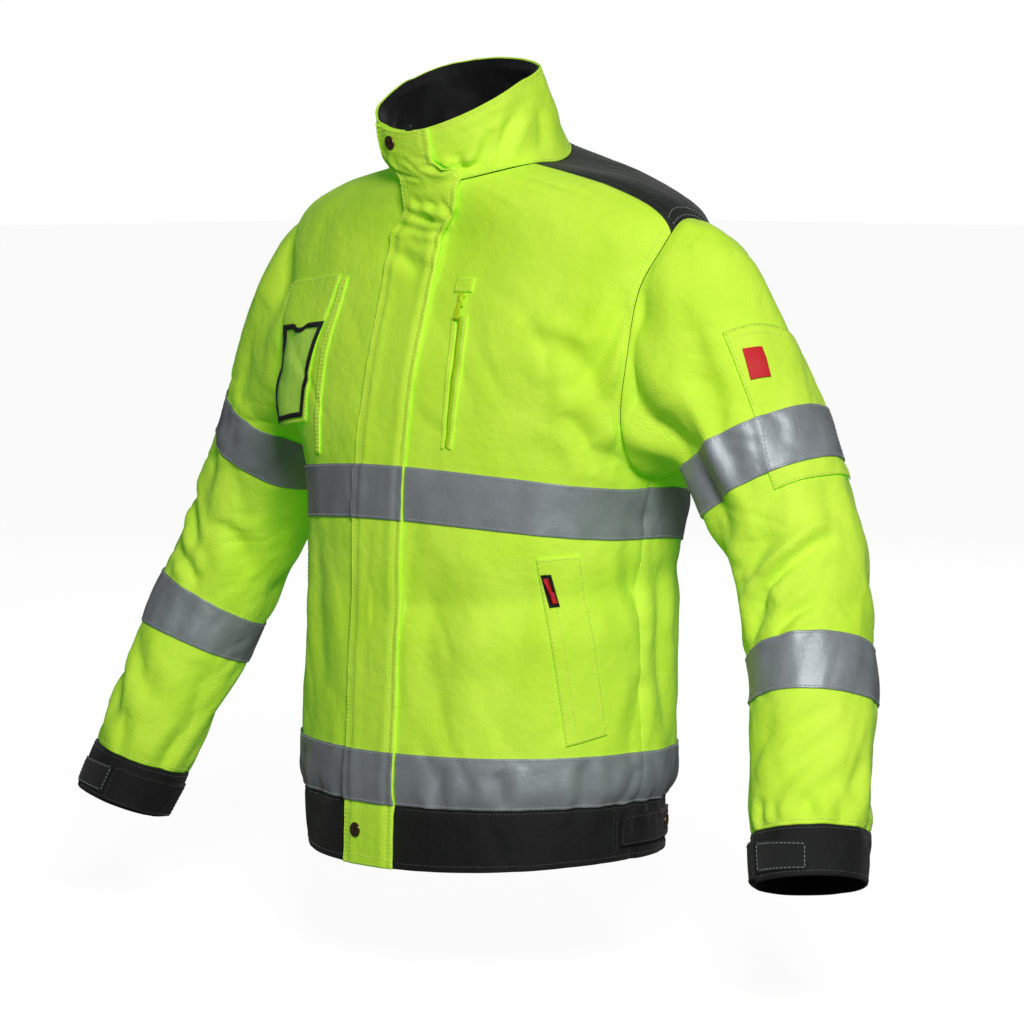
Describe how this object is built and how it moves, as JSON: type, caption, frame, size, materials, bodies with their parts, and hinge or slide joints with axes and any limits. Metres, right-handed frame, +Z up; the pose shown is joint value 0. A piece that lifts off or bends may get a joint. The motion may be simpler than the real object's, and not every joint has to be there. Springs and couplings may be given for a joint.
{
  "type": "hi-vis work jacket",
  "caption": "Padded high-visibility work jacket, filled out as worn, with stand collar, storm flap, pockets, reflective tape, tabbed cuffs and a waistband.",
  "frame": {"origin": "midway between the two points where the shoulder yokes meet the collar, where the wearer's shoulders carry the jacket", "axes": "+Z up, the jacket faces -Y, the wearer's left is +X"},
  "size_m": [1.0198, 0.3044, 0.7624],
  "materials": {
    "lime_shell": "fluorescent lime-yellow coated polyester, satin",
    "charcoal_cloth": "dark charcoal woven polyester, matt",
    "black_cloth": "black woven polyester, matt",
    "reflective_tape": "silver-grey glass-bead reflective tape, satin",
    "snap_metal": "antique bronze plating, satin",
    "lime_zip": "lime moulded zip and tape",
    "black_plastic": "black moulded zip end",
    "red_badge": "plain red woven badge",
    "clear_film": "clear soft PVC film, glossy"
  },
  "bodies": {
    "jacket": {"back": "lime_shell", "card_window": "clear_film", "chest_tape_back": "reflective_tape", "chest_tape_flap": "reflective_tape", "chest_tape_left": "reflective_tape", "chest_tape_right": "reflective_tape", "chest_welt_right": "lime_shell", "chest_zip_garage": "lime_shell", "chest_zip_tape": "lime_zip", "chest_zip_welt_front": "lime_shell", "chest_zip_welt_side": "lime_shell", "collar_lining": "black_cloth", "collar_outer": "lime_shell", "collar_snap": "snap_metal", "cuff_left": "black_cloth", "cuff_loop_left": "black_cloth", "cuff_loop_right": "black_cloth", "cuff_right": "black_cloth", "cuff_tab_left": "black_cloth", "cuff_tab_right": "black_cloth", "front_left": "lime_shell", "front_right": "lime_shell", "hem_snap": "snap_metal", "hem_tab_left": "black_cloth", "hem_tab_right": "black_cloth", "hem_tab_snap_left": "snap_metal", "hem_tab_snap_right": "snap_metal", "hem_tape_back": "reflective_tape", "hem_tape_flap": "reflective_tape", "hem_tape_left": "reflective_tape", "hem_tape_right": "reflective_tape", "id_holder": "lime_shell", "lower_band_left": "reflective_tape", "lower_band_right": "reflective_tape", "lower_welt_left": "lime_shell", "lower_welt_right": "lime_shell", "main_zip": "lime_zip", "main_zip_slider": "black_plastic", "pocket_label": "red_badge", "sleeve_badge": "red_badge", "sleeve_left": "lime_shell", "sleeve_pocket": "lime_shell", "sleeve_right": "lime_shell", "storm_flap": "lime_shell", "upper_band_left": "reflective_tape", "upper_band_right": "reflective_tape", "waistband_back": "black_cloth", "waistband_left": "black_cloth", "waistband_right": "black_cloth", "window_binding": "black_cloth", "yoke_left": "charcoal_cloth", "yoke_right": "charcoal_cloth", "zip_slider": "lime_zip"},
    "pull": {"zip_pull": "lime_zip"}
  },
  "joints": [
    {"name": "pull_hinge", "type": "hinge", "parent": "jacket", "child": "pull", "pos_m": [0.06467, -0.10891, -0.12751], "axis": [-0.9969, -0.0782, -0.0079], "range_deg": [0, 150]}
  ]
}
